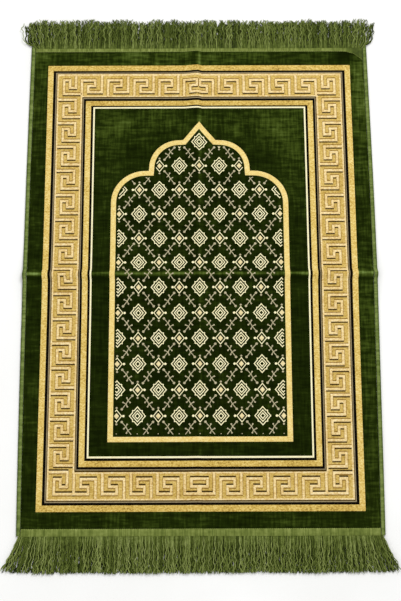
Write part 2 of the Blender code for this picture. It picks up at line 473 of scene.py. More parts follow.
def makeCordFinish(name, pitch, slant, depth, stops):
    finish, tree, shader = newFinish(name, 0.7, sheen=0.08, sheenTint="c8d48a", specular=0.12)
    twist = placeGroup(tree, cordTwist, {"Pitch": pitch, "Slant": slant, "Fuzz": 0.5})
    shade = addMath(tree, "MULTIPLY", twist["Shade"], 0.30)
    turns = addMath(tree, "MULTIPLY_ADD", twist["Height"], 0.22, shade)
    amount = addMath(tree, "MULTIPLY_ADD", readTone(tree), 0.55, turns, clamp=True)
    addColourAndBump(tree, shader, amount, stops, twist["Height"], 0.6, depth)
    return finish


velvetPile = makeVelvetFinish()

# Woven yarns, from the shaded weave to the lit one
yarnShades = {
    "gold": ((0.20, "876619"), (0.42, "c4a245"), (0.60, "d9ba60"), (0.84, "f0da90")),
    "paleGold": ((0.16, "b08f3c"), (0.42, "dcbe68"), (0.64, "e9cf7e"), (0.90, "f6e3a2")),
    "ground": ((0.20, "7c5c18"), (0.40, "b28f38"), (0.60, "c9a850"), (0.84, "dfc478")),
    "cream": ((0.20, "a27c36"), (0.40, "d6b36c"), (0.60, "e8cb8a"), (0.86, "f9e7b6")),
    "pale": ((0.12, "cfc08a"), (0.40, "f0e6b4"), (0.95, "fdf8d2")),
    "motif": ((0.12, "dcc884"), (0.40, "faeeb8"), (0.95, "fffad2")),
    "heart": ((0.12, "b49c60"), (0.40, "dcc890"), (0.95, "f2e4b2")),
    "sprig": ((0.12, "7d7452"), (0.40, "a69c7a"), (0.95, "c8be9a")),
    "grey": ((0.12, "66583a"), (0.40, "88795a"), (0.95, "a4956c")),
    "brown": ((0.1, "1d1000"), (0.5, "3c2b08"), (0.95, "5c4816")),
    "ochre": ((0.1, "5e430f"), (0.5, "846222"), (0.95, "a5823a")),
    "black": ((0.1, "000000"), (0.5, "050300"), (0.95, "140f03")),
}
dullYarns = {"brown": 0.05, "ochre": 0.10, "black": 0.02}    # without sheen, and how glossy
yarns = {}
for name, stops in yarnShades.items():
    look = {"sheen": 0.0, "specular": dullYarns[name]} if name in dullYarns else {}
    yarns[name] = makeWovenFinish(name + "Yarn", stops, **look)
bindingYarn = makeCordFinish("bindingYarn", 0.0026, 0.25, 0.0004,
                             ((0.0, "1f2c08"), (0.40, "48581f"), (0.70, "6c7c3c"), (1.0, "8c9a58")))
tapeYarn = makeCordFinish("tapeYarn", 0.0024, 0.0, 0.0003,
                          ((0.0, "2c370b"), (0.40, "525f22"), (0.70, "707c38"), (1.0, "96a05a")))
fringeYarn = makeCordFinish("fringeYarn", 0.0020, 0.7, 0.0005,
                            ((0.0, "0c1301"), (0.30, "39460f"), (0.60, "65732e"), (1.0, "a3ae68")))
print("finishes made")

# The pile cloth

pile = {
    "flatStep": 0.0050,
    "foldStep": 0.0015,           # over the long fold
    "swellStep": 0.0040,          # beside the cross fold's crest
    "crestStep": 0.0020,
    "light": 0.10,                # the pile's own tone, before painted sheen and shade
    # painted highlight just beyond the cross fold's crest and painted shade before it: where, how wide, how
    # much
    "paintedCrestLight": {"at": 0.0004, "width": 0.0036, "much": 0.46, "muchOut": 1.6},
    "paintedCrestShade": {"at": -0.009, "width": 0.0050, "much": 0.10},
    "paintedRidgeLight": {"at": 0.004, "width": 0.0030, "much": 70.0},    # painted highlight beside the long ridge, as a share of the ridge's height
    "paintedRidgeShade": {"at": -0.006, "width": 0.0060, "much": 0.5},    # painted shade on its other side, as a share of that highlight
    # painted sheen where the pile's nap lies another way, and one painted shade: x and y from the middle of
    # the cloth, how far they reach, how light they are
    "paintedSheenAndShade": (
        (-0.060, 0.475, 0.300, 0.030, 0.28),   # painted sheen on the margin at the far end
        (0.296, 0.478, 0.026, 0.014, -0.28),   # painted shade of the raised corner, which is not built
        (-0.318, 0.400, 0.020, 0.130, 0.18),   # painted sheen on the left margin, towards the far end
        (-0.318, 0.000, 0.020, 0.600, 0.07),
        (0.318, 0.420, 0.020, 0.180, 0.32),   # painted sheen on the right margin
        (0.318, 0.000, 0.020, 0.350, 0.15),
        (0.318, -0.350, 0.020, 0.300, 0.11),
        (-0.120, 0.330, 0.110, 0.045, 0.20),   # painted sheen beside the arch's tip
        (0.120, 0.330, 0.110, 0.045, 0.24),
        (0.185, 0.230, 0.035, 0.120, 0.16),
        (-0.185, 0.230, 0.035, 0.120, 0.10),
        (0.0, -0.475, 0.500, 0.024, 0.12),   # painted sheen on the margin at the near end
    ),
}


def glow(distance, line):
    return math.exp(-((distance - line["at"]) / line["width"]) ** 2)


def pileToneAndPaintedLight(x, y):
    # the pile's own tone with its painted sheen, and painted highlights and shades on the folds
    light = pile["light"]
    for atX, atY, reachX, reachY, lift in pile["paintedSheenAndShade"]:
        across = (x - atX) / reachX
        along = (y - cloth["centreY"] - atY) / reachY
        light += lift * math.exp(-across * across - along * along)
    # painted highlights and shades on the cross fold and the long ridge
    fromCrest = y - folds["crossY"]
    strength = pile["paintedCrestLight"]["much"] + pile["paintedCrestLight"]["muchOut"] * x * x
    light += strength * glow(fromCrest, pile["paintedCrestLight"])
    light -= pile["paintedCrestShade"]["much"] * glow(fromCrest, pile["paintedCrestShade"])
    fromRidge = x - folds["longX"]
    strength = pile["paintedRidgeLight"]["much"] * readTable(folds["longHeights"], y)
    light += strength * glow(fromRidge, pile["paintedRidgeLight"])
    light -= pile["paintedRidgeShade"]["much"] * strength * glow(fromRidge, pile["paintedRidgeShade"])
    return light


def makePile():
    heap = newHeap()
    widest = clothHalfWidth(cloth["centreY"])
    columns = stations(-widest, (
        (folds["longX"] - folds["longLeft"], pile["flatStep"]),
        (folds["longX"] + folds["longRight"], pile["foldStep"]),
        (widest, pile["flatStep"]),
    ))
    start = cloth["centreY"] - cloth["halfLength"]
    rows = stations(start, (
        (folds["crossY"] - folds["swell"]["reach"], pile["flatStep"]),
        (folds["crossY"] - folds["crest"]["reach"], pile["swellStep"]),
        (folds["crossY"] + folds["crest"]["reach"], pile["crestStep"]),
        (folds["crossY"] + folds["swell"]["reach"], pile["swellStep"]),
        (start + 2.0 * cloth["halfLength"], pile["flatStep"]),
    ))
    wide = len(columns)
    for raised in (cloth["thickness"], 0.0):
        for y in rows:
            scale = clothHalfWidth(y) / widest
            for column in columns:
                x = column * scale
                heap["points"].append((x, y, underside(x, y) + raised))
                heap["tones"].append(pileToneAndPaintedLight(x, y))
    bottom = len(rows) * wide
    for row in range(len(rows) - 1):
        for i in range(wide - 1):
            a = row * wide + i
            heap["faces"].append((a, a + 1, a + wide + 1, a + wide))
            heap["faces"].append((bottom + a, bottom + a + wide, bottom + a + wide + 1, bottom + a + 1))
    last = (len(rows) - 1) * wide
    for i in range(wide - 1):
        heap["faces"].append((i + 1, i, bottom + i, bottom + i + 1))
        heap["faces"].append((last + i, last + i + 1, bottom + last + i + 1, bottom + last + i))
    for row in range(len(rows) - 1):
        a = row * wide
        b = a + wide - 1
        heap["faces"].append((a, a + wide, bottom + a + wide, bottom + a))
        heap["faces"].append((b + wide, b, bottom + b, bottom + b + wide))
    return makePiece("velvetPanel", heap, velvetPile)


velvetPanel = makePile()
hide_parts("rug_body")

# The border's stripes

# Each stripe's yarn, and its outer and inner edge from the middle of the cloth: at the sides, at
# the far end and at the near end. Then how far each yarn stands above the pile
border = {
    "stripes": (
        ("gold", (0.3021, 0.2913), (0.4570, 0.4454), (0.4558, 0.4436)),
        ("black", (0.2917, 0.2863), (0.4456, 0.4414), (0.4438, 0.4388)),
        ("grey", (0.2863, 0.2846), (0.4414, 0.4397), (0.4388, 0.4368)),
        ("brown", (0.2846, 0.2828), (0.4397, 0.4380), (0.4368, 0.4344)),
        ("cream", (0.2832, 0.2802), (0.4384, 0.4342), (0.4346, 0.4316)),
        ("ground", (0.2806, 0.2356), (0.4346, 0.3895), (0.4320, 0.3838)),
        ("cream", (0.2360, 0.2328), (0.3899, 0.3873), (0.3842, 0.3812)),
        ("brown", (0.2330, 0.2311), (0.3875, 0.3852), (0.3814, 0.3776)),
        ("grey", (0.2311, 0.2296), (0.3852, 0.3833), (0.3776, 0.3760)),
        ("black", (0.2296, 0.2250), (0.3833, 0.3782), (0.3760, 0.3710)),
        ("gold", (0.2254, 0.2149), (0.3784, 0.3680), (0.3712, 0.3600)),
        ("black", (0.2152, 0.2104), (0.3683, 0.3650), (0.3603, 0.3549)),
        ("pale", (0.2104, 0.2073), (0.3650, 0.3618), (0.3549, 0.3513)),
    ),
    "rise": {"gold": 0.00055, "black": 0.00022, "grey": 0.00038, "brown": 0.00030, "cream": 0.00084,
             "pale": 0.00070, "ground": 0.00032},
    "slots": {"gold": "gold_weave", "black": "shadow_weave", "grey": "grey_weave", "brown": "shadow_weave",
              "cream": "cream_weave", "pale": "cream_weave", "ground": "gold_weave"},
    "endTone": -0.85,             # the gold is duller across the ends than along the sides
    "endTurn": 0.150,             # where the ends begin: how much further out along than across
}


def makeBorder():
    heaps = {yarn: newHeap() for yarn in border["slots"]}
    for yarn, atSide, atFar, atNear in border["stripes"]:
        side, far, near = (0.5 * sum(edges) for edges in (atSide, atFar, atNear))
        halves = [0.5 * (edges[0] - edges[1]) for edges in (atFar, atSide, atNear, atSide)]
        places = ((-side, far), (side, far), (side, -near), (-side, -near))
        corners = [fromCentre(x, y) for x, y in places]
        addYarnBand(heaps[yarn], corners, halves, border["rise"][yarn], closed=True)
    for i, (x, y, z) in enumerate(heaps["gold"]["points"]):
        if abs(y - cloth["centreY"]) - abs(x) > border["endTurn"]:
            heaps["gold"]["tones"][i] = border["endTone"]
    return [makePiece("border_" + yarn, heaps[yarn], yarns[yarn])
            for yarn, slot in border["slots"].items()]


borderPieces = makeBorder()

# The key pattern

key = {
    "halfAcross": 0.00240,        # of a bar that runs along the rug
    "halfAlong": 0.00245,         # of a bar that runs across it
    "rise": 0.00090,
    "sideLines": (0.2817, 0.2698, 0.2580, 0.2459, 0.2344),   # from the outer line to the inner one
    "sideStart": 0.3813,
    "sidePitch": 0.05085,
    "sideCount": 16,
    # the loom's beat was uneven: how far the side units stand off their even places, as (unit, metres)
    "sideDrift": {
        -1: ((0, 0.0003), (3, -0.0018), (5, -0.0040), (7, -0.0060), (9, -0.0050), (11, -0.0016), (13, 0.0002),
             (15, 0.0008)),
        1: ((0, -0.0006), (3, -0.0026), (5, -0.0058), (7, -0.0090), (9, -0.0096), (11, -0.0062), (13, -0.0036),
            (15, -0.0022)),
    },
    "sideTurns": ((0, 0), (3, 0), (3, 2), (2, 2), (2, 1), (1, 1), (1, 3), (4, 3)),
    "cornerDrops": (0.0, 0.0115, 0.0285, 0.0420),
    "cornerTurns": ((3, 0), (3, 2), (2, 2), (2, 1), (1, 1), (1, 3), (4, 3)),
    "unitShares": (0.0, 0.245, 0.505, 0.762),   # the lines of an end band's unit, as shares of its width
    "middleX": -0.0015,           # where the two halves of the end bands meet
    "lastWidth": 0.0500,
    # where each unit of an end band starts, from the side band to the middle
    "farStarts": {-1: (0.2342, 0.1817, 0.1292, 0.0792, 0.0300), 1: (0.2325, 0.1800, 0.1275, 0.0767, 0.0275)},
    "nearStarts": {-1: (0.2333, 0.1808, 0.1283, 0.0792, 0.0292), 1: (0.2317, 0.1758, 0.1242, 0.0750, 0.0250)},
    "farLines": (0.4363, 0.4243, 0.4118, 0.3980, 0.3886),
    "farTurns": ((0, 4), (0, 1), (2, 1), (2, 2), (1, 2), (1, 3), (3, 3), (3, 0)),
    "nearLines": (-0.3827, -0.3942, -0.4087, -0.4223, -0.4330),
    "nearTurns": ((0, 0), (0, 3), (2, 3), (2, 2), (1, 2), (1, 1), (3, 1), (3, 4)),
    # painted shadows in the grooves beside each bar, in dark brown and ochre yarn: which side, width and rise
    "grooveShadows": {
        "far": {"away": ("ochre", 0.0024), "towards": ("brown", 0.0032)},
        "near": {"away": ("brown", 0.0036), "towards": ("ochre", 0.0025)},
        "side": {"away": ("ochre", 0.0023), "towards": ("brown", 0.0031)},
    },
    # a fainter painted shadow beside the bars that run along the rug
    "edgeShadeLine": ("ochre", 0.0014),
    "grooveShadowRise": {"brown": 0.00052, "ochre": 0.00046},
}


def keyPaths(side):
    # every bar of one half, as (band, path); side is -1 on the left
    lines = key["sideLines"]
    place = lambda x, y: fromCentre(side * x, y)
    top = key["farLines"][0]
    paths = [("far", [place(lines[c], top - key["cornerDrops"][r]) for c, r in key["cornerTurns"]])]
    for unit in range(key["sideCount"] - 1):
        start = key["sideStart"] - key["sidePitch"] * unit + readTable(key["sideDrift"][side], unit)
        quarter = 0.25 * key["sidePitch"]
        paths.append(("side", [place(lines[c], start - quarter * r) for c, r in key["sideTurns"]]))
    # the last side unit runs on into the near band's first one
    unit = key["sideCount"] - 1
    rows = (key["sideStart"] - key["sidePitch"] * unit + readTable(key["sideDrift"][side], unit),)
    rows += key["nearLines"][1:4]
    corner = [place(lines[c], rows[r]) for c, r in key["sideTurns"][:-1]]
    for band in ("far", "near"):
        starts = key[band + "Starts"][side] + (key[band + "Starts"][side][-1] - key["lastWidth"],)
        rows = key[band + "Lines"]
        for unit, (first, second) in enumerate(zip(starts, starts[1:])):
            columns = [first - share * (first - second) for share in key["unitShares"]]
            turns = key[band + "Turns"]
            if unit == len(starts) - 2:
                # the middle unit is cut short and joins its mirror image
                turns = turns[:6]
                path = [place(columns[c], rows[r]) for c, r in turns]
                path.append(fromCentre(key["middleX"], rows[turns[-1][1]]))
            else:
                path = [place(columns[c], rows[r]) for c, r in turns]
            if band == "near" and unit == 0:
                paths.append(("near", path[:2]))
                path = corner + path[1:]
            paths.append((band, path))
    return paths


def barHalf(start, end):
    return key["halfAcross"] if abs(end.x - start.x) < abs(end.y - start.y) else key["halfAlong"]


def makeKey():
    bars = newHeap()
    heaps = {"brown": newHeap(), "ochre": newHeap()}
    for number, (band, path) in enumerate(keyPaths(-1) + keyPaths(1)):
        legs = list(zip(path, path[1:]))
        # neighbours differ a little in height where they cross
        rise = key["rise"] + 0.00003 * (number % 4)
        addYarnBand(bars, path, [barHalf(start, end) for start, end in legs], rise)
        for i, (start, end) in enumerate(legs):
            along = (end - start).normalized()
            level = abs(along.x) > abs(along.y)
            reach = key["halfAcross"] if level else key["halfAlong"]
            first = start - along * (reach if i > 0 else 0.0)
            last = end + along * (reach if i < len(legs) - 1 else 0.0)
            # painted groove shadows on both sides of each bar
            for sign in (1.0, -1.0):
                yarn, width = key["edgeShadeLine"]
                if level:
                    yarn, width = key["grooveShadows"][band]["away" if sign > 0 else "towards"]
                shift = sign * (barHalf(start, end) + 0.5 * width - 0.0002)
                offset = Vector((0.0, shift)) if level else Vector((shift, 0.0))
                rise = key["grooveShadowRise"][yarn] - (0.0 if level else 0.00007)
                addYarnBand(heaps[yarn], [first + offset, last + offset], 0.5 * width, rise)
    return [makePiece("key_bars", bars, yarns["cream"]),
            makePiece("key_shadow_lines", heaps["brown"], yarns["brown"]),
            makePiece("key_ochre_shade_lines", heaps["ochre"], yarns["ochre"])]


keyPieces = makeKey()

# The arch

arch = {
    "centreX": -0.0003,
    "half": 0.0050,               # of the band
    "rise": 0.00070,
    "tipY": 0.3237,               # middle line of the band from here on
    "tipNotch": (0.0295, 0.2875),
    "lobe": {"startX": 0.0400, "centreY": 0.2320, "radiusX": 0.0534, "radiusY": 0.0549},
    "lobeNotch": (0.0942, 0.2211),
    "shoulder": {"startX": 0.1060, "centreY": 0.1580, "radiusX": 0.0614, "radiusY": 0.0629},
    "baseY": -0.3189,
    "arcParts": 14,
    "clear": 0.0037,              # between the band and the lattice inside it
    "clearBase": 0.0045,
    "notchDrop": 0.0005,          # how far below its notch the tip's straight sides begin
    "tipInset": 1.61,             # the inset measured down the tip's steep sides
}


def quarterArc(part):
    # from the top of the round stretch, outwards and down
    count = arch["arcParts"]
    turns = [0.5 * math.pi * i / count for i in range(count + 1)]
    return [(part["startX"] + part["radiusX"] * math.sin(turn),
             part["centreY"] + part["radiusY"] * math.cos(turn)) for turn in turns]


def makeArch():
    right = [arch["tipNotch"]] + quarterArc(arch["lobe"]) + [arch["lobeNotch"]] + quarterArc(arch["shoulder"])
    shoulderX = right[-1][0]
    right.append((shoulderX, arch["baseY"]))
    outline = [(0.0, arch["tipY"])] + right + [(-x, y) for x, y in reversed(right)]
    path = [fromCentre(x + arch["centreX"], y) for x, y in outline]
    heap = newHeap()
    addYarnBand(heap, path, arch["half"], arch["rise"], closed=True, step=0.006)
    return makePiece("arch_band", heap, yarns["paleGold"])


def insideArch(point):
    # whether a place lies inside the arch band, clear of it
    x = abs(point.x - arch["centreX"])
    y = point.y - cloth["centreY"]
    inset = arch["half"] + arch["clear"]
    if y < arch["baseY"] + arch["half"] + arch["clearBase"]:
        return False
    for part, top in ((arch["shoulder"], arch["lobeNotch"][1]),
                      (arch["lobe"], arch["tipNotch"][1] - arch["notchDrop"])):
        if y <= top - inset:
            across = max(0.0, x - part["startX"]) / (part["radiusX"] - inset)
            along = max(0.0, y - part["centreY"]) / (part["radiusY"] - inset)
            return across * across + along * along <= 1.0
    slope = arch["tipNotch"][0] / (arch["tipY"] - arch["tipNotch"][1])
    return x < (arch["tipY"] - arch["tipInset"] * inset - y) * slope


archBand = makeArch()

# The lattice

lattice = {
    "centreX": -0.0004, "pitchX": 0.0390, "pitchY": 0.05105,
    "topY": 0.2878, "columns": 4, "rows": 13,
    "star": {
        "halfX": 0.0148, "halfY": 0.0177, "line": 0.00086, "rise": 0.00060,
        "point": 0.40, "shoulder": 0.60,      # where the square's corners cut the diamond's sides
        "rings": (0.63, 0.31),                # diamonds inside the star
    },
    "diamond": {
        "halfX": 0.0094, "halfY": 0.0120, "line": 0.00078, "rise": 0.00060,
        "heartX": 0.0048, "heartY": 0.0060,
        "sideBud": 0.0128, "sideSize": 0.0025, "endBud": 0.0158, "endSize": 0.0021,
    },
    # the sprig between two small diamonds, from their midpoint: it leans up to the right
    "sprig": {
        "line": 0.00078, "rise": 0.00048, "bud": 0.0026, "leafBud": 0.0017,
        "stem": ((-0.0097, -0.0122), (-0.0018, -0.0020), (0.0018, 0.0049), (0.0097, 0.0141)),
        "leaves": (
            ((0.0018, 0.0049), (-0.0005, 0.0097)), ((0.0018, 0.0049), (0.0055, 0.0010)),
            ((-0.0018, -0.0020), (-0.0074, 0.0010)), ((-0.0018, -0.0020), (0.0005, -0.0073)),
        ),
    },
}


def addClippedBand(heap, path, half, rise, closed=False):
    # a band as far as it lies inside the arch: whole, or in runs that end in a straight cut
    if all(insideArch(point) for point in path):
        addYarnBand(heap, path, half, rise, closed)
        return
    if not any(insideArch(point) for point in path):
        return
    ends = path[1:] + path[:1] if closed else path[1:]
    fine = [path[0]]
    for start, end in zip(path, ends):
        count = max(1, round((end - start).length / 0.0015))
        fine += [start + (end - start) * i / count for i in range(1, count + 1)]
    runs = [[]]
    for before, point in zip([fine[0]] + fine, fine):
        if insideArch(before) != insideArch(point):
            low, high = (before, point) if insideArch(before) else (point, before)
            for attempt in range(8):
                middle = 0.5 * (low + high)
                low, high = (middle, high) if insideArch(middle) else (low, middle)
            runs[-1].append(low)
            if insideArch(before):
                runs.append([])
        if insideArch(point):
            runs[-1].append(point)
    if closed and insideArch(fine[0]) and len(runs) > 1:
        runs[0] = runs.pop() + runs[0][1:]
    for run in runs:
        spaced = run[:1]
        for point in run[1:]:
            if (point - spaced[-1]).length > 0.0005:
                spaced.append(point)
        if len(spaced) > 1:
            addYarnBand(heap, spaced, half, rise)


def addClippedKnot(heap, centre, halfX, halfY, rise, corners=6):
    if insideArch(centre):
        addKnot(heap, centre, halfX, halfY, rise, corners)


def diamondPath(centre, halfX, halfY):
    return [centre + Vector(step) for step in ((0, halfY), (halfX, 0), (0, -halfY), (-halfX, 0))]


def starPath(centre, star):
    near, far = star["point"], star["shoulder"]
    quarter = [(0.0, 1.0), (near, far), (far, far), (far, near)]
    points = []
    for turn in range(4):
        for x, y in quarter:
            for step in range(turn):
                x, y = y, -x
            points.append(centre + Vector((x * star["halfX"], y * star["halfY"])))
    return points


def makeLattice():
    motifs, hearts, sprigs = newHeap(), newHeap(), newHeap()
    star, small, sprig = lattice["star"], lattice["diamond"], lattice["sprig"]
    for row in range(lattice["rows"]):
        for column in range(-lattice["columns"] - 1, lattice["columns"] + 2):
            y = lattice["topY"] - lattice["pitchY"] * row
            centre = fromCentre(lattice["centreX"] + column * lattice["pitchX"], y)
            if row == lattice["rows"] - 1:
                # only the tips of this row show above the arch's base
                addClippedKnot(sprigs, centre + Vector((0.0, 0.0166)), 0.0011, 0.0011, small["rise"])
                continue
            if (row + column) % 2 == 0:
                addClippedBand(motifs, starPath(centre, star), star["line"], star["rise"], closed=True)
                for share in star["rings"]:
                    ring = diamondPath(centre, share * star["halfX"], share * star["halfY"])
                    addClippedBand(motifs, ring, star["line"], star["rise"], closed=True)
                continue
            ring = diamondPath(centre, small["halfX"], small["halfY"])
            addClippedBand(motifs, ring, small["line"], small["rise"], closed=True)
            addClippedKnot(hearts, centre, small["heartX"], small["heartY"], small["rise"], 4)
            for sign in (-1, 1):
                side = centre + Vector((sign * small["sideBud"], 0.0))
                end = centre + Vector((0.0, sign * small["endBud"]))
                addClippedKnot(motifs, side, small["sideSize"], small["sideSize"], small["rise"] + 0.00006)
                addClippedKnot(sprigs, end, small["endSize"], small["endSize"], sprig["rise"])
            for lean in (-1, 1):
                # towards the small diamond one row down, to the left and to the right
                middle = centre + Vector((-lean * 0.5 * lattice["pitchX"], -0.5 * lattice["pitchY"]))
                place = lambda spot: middle + Vector((lean * spot[0], spot[1]))
                addClippedBand(sprigs, [place(spot) for spot in sprig["stem"]], sprig["line"], sprig["rise"])
                for leaf in sprig["leaves"]:
                    path = [place(spot) for spot in leaf]
                    addClippedBand(sprigs, path, sprig["line"], sprig["rise"] - 0.00006)
                    addClippedKnot(sprigs, place(leaf[1]), sprig["leafBud"], sprig["leafBud"], sprig["rise"])
                for spot in (sprig["stem"][0], sprig["stem"][-1]):
                    addClippedKnot(sprigs, place(spot), sprig["bud"], sprig["bud"], sprig["rise"] + 0.00010)
    return [makePiece("lattice_motifs", motifs, yarns["motif"]),
            makePiece("lattice_hearts", hearts, yarns["heart"]),
            makePiece("lattice_sprigs", sprigs, yarns["sprig"])]


latticePieces = makeLattice()

# The bound sides

binding = {
    "height": 0.0052,
    "wrapPitch": 0.0026,          # from one turn of yarn to the next
    "ringsPerWrap": 4,
    "wrapDepth": 0.00030,
    "slant": 0.35,                # of the turns, as a share of the pitch over the width
    "points": 12,
}


def makeBinding(name, side):
    heap = newHeap()
    shuffle = random.Random(5 + side)
    rings = []
    start = cloth["centreY"] - cloth["halfLength"]
    count = round(2.0 * cloth["halfLength"] / binding["wrapPitch"] * binding["ringsPerWrap"])
    wrapTone = 0.5
    tones = []
    for i in range(count + 1):
        y = start + 2.0 * cloth["halfLength"] * i / count
        if i % binding["ringsPerWrap"] == 0:
            wrapTone = shuffle.uniform(0.45, 0.95)
        middle = halfWidth(y) - 0.5 * cloth["bindingWidth"]
        base = underside(side * middle, y) + 0.5 * binding["height"]
        ring = []
        for k in range(binding["points"]):
            turn = 2.0 * math.pi * (k + 0.5) / binding["points"]
            across = math.cos(turn)
            phase = i / binding["ringsPerWrap"] + binding["slant"] * across
            swell = binding["wrapDepth"] * (abs(math.sin(math.pi * phase)) - 1.0)
            wide = (0.5 * cloth["bindingWidth"] + swell) * across
            high = (0.5 * binding["height"] + swell) * math.sin(turn)
            ring.append((side * (middle + wide), y, base + high))
            # painted shade: each wrap darkens towards its outer side, which turns away from the light
            tones.append(max(0.0, wrapTone - 1.1 * max(0.0, across - 0.1)))
        if side < 0:
            ring.reverse()
        rings.append(ring)
    addSkin(heap, rings)
    heap["tones"] = tones
    return makePiece(name, heap, bindingYarn)


leftBinding = makeBinding("side_binding_left", -1)
rightBinding = makeBinding("side_binding_right", 1)
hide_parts("binding_left")
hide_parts("binding_right")

# The fringes

fringe = {
    "tapeWidth": 0.0120,
    "tapeThickness": 0.0015,
    "tapeOverhang": 0.0015,       # how far the heading runs past the cloth's end
    "ribPitch": 0.00195,
    "ribDepth": 0.00035,
    "toothPitch": 0.0039,         # of the heading's inner edge
    "toothDepth": 0.0012,
    "flare": ((0.000, 0.0200), (0.008, 0.0130), (0.018, 0.0050), (0.032, 0.0010), (0.044, 0.0)),
    "bunches": 38,
    "spread": 0.361,              # how far out the outermost cords lie
    "radius": 0.00080,
    "step": 0.0028,
    "floorLayer": 0.0012,         # height of the lowest cords' middle
    "heap": 0.0050,               # how much higher the topmost cords lie, and how much at their tips
    "tipHeap": 0.0030,
    "overTape": 0.0016,           # how far above the pile a cord leaves the heading
    "underTape": 0.0003,
    # thicker cords lie closer together beneath the loose ones, darkened as painted shade under the heap
    "bed": {"cords": 13, "radius": 0.00135, "step": 0.0045},
    "ends": (
        {"name": "far", "sign": 1, "reach": 0.0632, "rootIn": 0.0050, "cords": 19, "bedReach": 0.88,
         "uneven": 0.16, "clump": 0.34, "wander": 0.0040, "wave": 0.0017, "curl": 0.0036, "bulge": 0.020,
         "tone": -0.58, "flare": True},
        {"name": "near", "sign": -1, "reach": 0.0715, "rootIn": 0.0004, "cords": 18, "bedReach": 0.97,
         "uneven": 0.06, "clump": 0.08, "wander": 0.0022, "wave": 0.0012, "curl": 0.0040, "bulge": 0.0,
         "tone": -0.46, "flare": False},
    ),
}


def endOfCloth(end):
    return cloth["centreY"] + end["sign"] * cloth["halfLength"]


def makeTape(end):
    heap = newHeap()
    edge = endOfCloth(end)
    half = clothHalfWidth(edge) - cloth["gap"]
    count = round(2.0 * half / fringe["ribPitch"]) * 4
    rings = []
    tones = []
    shuffle = random.Random(31 + end["sign"])
    ribTone = 0.6
    for i in range(count + 1):
        x = -half + 2.0 * half * i / count
        if i % 4 == 0:
            ribTone = shuffle.uniform(0.30, 0.80)
        widening = readTable(fringe["flare"], half - x) if end["flare"] else 0.0
        tooth = fringe["toothDepth"] * abs(math.sin(math.pi * x / fringe["toothPitch"]))
        outer = edge + end["sign"] * fringe["tapeOverhang"]
        inner = edge - end["sign"] * (fringe["tapeWidth"] + widening - 0.5 * fringe["toothDepth"] + tooth)
        low = pileTop(x, edge) + cloth["gap"]
        rib = fringe["ribDepth"] * (abs(math.sin(math.pi * x / fringe["ribPitch"])) - 1.0)
        high = low + fringe["tapeThickness"] + rib
        across = inner - outer
        ring = [(x, outer, low), (x, outer, high - 0.0003), (x, outer + 0.08 * across, high),
                (x, outer + 0.5 * across, high + 0.0002), (x, outer + 0.92 * across, high),
                (x, inner, high - 0.0005), (x, inner, low)]
        if end["sign"] > 0:
            ring.reverse()
        rings.append(ring)
        # painted shade on the widened heading at the far right corner, standing in for the raised corner,
        # which is not built
        shade = 0.75 * min(1.0, widening / 0.006)
        ringTones = [ribTone - 0.1, ribTone - 0.1, ribTone - 0.5 * shade, ribTone - shade,
                     ribTone + 0.12 - shade, 0.95 - 0.5 * shade, 0.95]
        tones += ringTones if end["sign"] < 0 else ringTones[::-1]
    addSkin(heap, rings)
    heap["tones"] = tones
    return makePiece("heading_tape_" + end["name"], heap, tapeYarn)


def cordLine(end, root, tip, reach, layer, bulge, step, shuffle):
    # a cord falls from the heading's edge to the floor and lies out to its tip; layer is its
    # height in the heap, from 0 on the floor to 1
    edge = endOfCloth(end)
    phases = [shuffle.uniform(0.0, 2.0 * math.pi) for k in range(3)]
    lengths = (shuffle.uniform(0.011, 0.019), shuffle.uniform(0.022, 0.038), shuffle.uniform(0.009, 0.015))
    curl = end["curl"] * shuffle.uniform(-1.0, 1.0)
    beyond = max(0.0, abs(root) - clothHalfWidth(edge))
    start = pileTop(root, edge)
    onTop = end["rootIn"] > 0.002 or beyond > 0.0
    start += fringe["overTape"] if onTop else fringe["underTape"]
    rest = fringe["floorLayer"] + layer * fringe["heap"]
    tipHeight = fringe["floorLayer"] + layer * fringe["tipHeap"]
    rootIn = end["rootIn"] if beyond <= 0.0 else -0.0006
    if layer == 0.0:
        # the bed comes out below the heading
        start = pileTop(root, edge) - fringe["overTape"]
        rootIn = -0.0004
    count = max(8, round((reach + rootIn) / step))
    line = []
    for i in range(count + 1):
        share = i / count
        out = -rootIn + (reach + rootIn) * share
        fall = min(1.0, max(0.0, (share - 0.05) / 0.37))
        fall = fall * fall * (3.0 - 2.0 * fall)
        z = start + (rest - start) * fall
        z += (tipHeight - rest) * max(0.0, share - 0.6) / 0.4
        loosened = share * (1.6 - 0.6 * share)
        x = root + (tip - root) * share ** 1.15
        x += end["wave"] * loosened * math.sin(2.0 * math.pi * out / lengths[0] + phases[0])
        x += 1.3 * end["wave"] * loosened * math.sin(2.0 * math.pi * out / lengths[1] + phases[1])
        x += curl * max(0.0, share - 0.72) ** 2 * 12.0
        # the outermost cords turn aside as soon as they leave the cloth
        x += bulge * min(1.0, share / 0.20) ** 0.6 * (1.0 - 0.9 * max(0.0, share - 0.45))
        z += 0.0006 * loosened * (1.0 + math.sin(2.0 * math.pi * out / lengths[2] + phases[2]))
        line.append(Vector((x, edge + end["sign"] * out, max(z, fringe["radius"]))))
    return line


def addCord(heap, line, radius, sides, tone, start):
    rings = []
    for i, point in enumerate(line):
        along = (line[min(i + 1, len(line) - 1)] - line[max(i - 1, 0)]).normalized()
        side = along.cross(Vector((0.0, 0.0, 1.0))).normalized()
        up = side.cross(along)
        size = radius * (0.55 if i == len(line) - 1 else 1.0)
        ring = []
        for k in range(sides):
            turn = start + 2.0 * math.pi * k / sides + 0.9 * i
            spot = point + size * (math.cos(turn) * side + math.sin(turn) * up)
            ring.append((spot.x, spot.y, max(spot.z, 0.00002)))
        rings.append(ring)
    addSkin(heap, rings, tone=tone)


